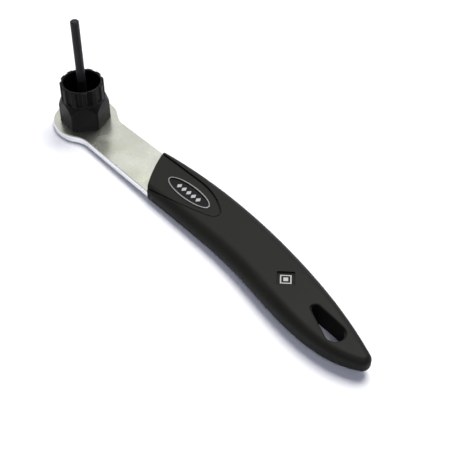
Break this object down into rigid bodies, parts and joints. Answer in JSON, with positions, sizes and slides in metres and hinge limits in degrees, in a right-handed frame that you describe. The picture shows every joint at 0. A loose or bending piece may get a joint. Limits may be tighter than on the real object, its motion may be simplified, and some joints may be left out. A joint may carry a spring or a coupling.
{
  "type": "cassette lockring tool",
  "caption": "Flat steel wrench arm with a curved moulded grip, a toothed lockring socket on a hexagon base and a slim guide pin in the socket.",
  "frame": {"origin": "on the axis of the socket and guide pin, in the top face of the steel arm", "axes": "+Z along the guide pin, away from the arm; +X along the arm towards the grip; +Y across the arm"},
  "size_m": [0.2351, 0.037, 0.0699],
  "materials": {
    "satin_steel": "satin nickel plate",
    "black_oxide": "black oxide",
    "dark_pin": "dark phosphate",
    "grip_plastic": "soft matte black moulding",
    "badge_metal": "dark glossy field with a bare silver rim"
  },
  "bodies": {
    "root": {"arm": "satin_steel", "socket": "black_oxide", "guide_pin": "dark_pin", "grip": "grip_plastic", "badge": "badge_metal"}
  },
  "joints": []
}
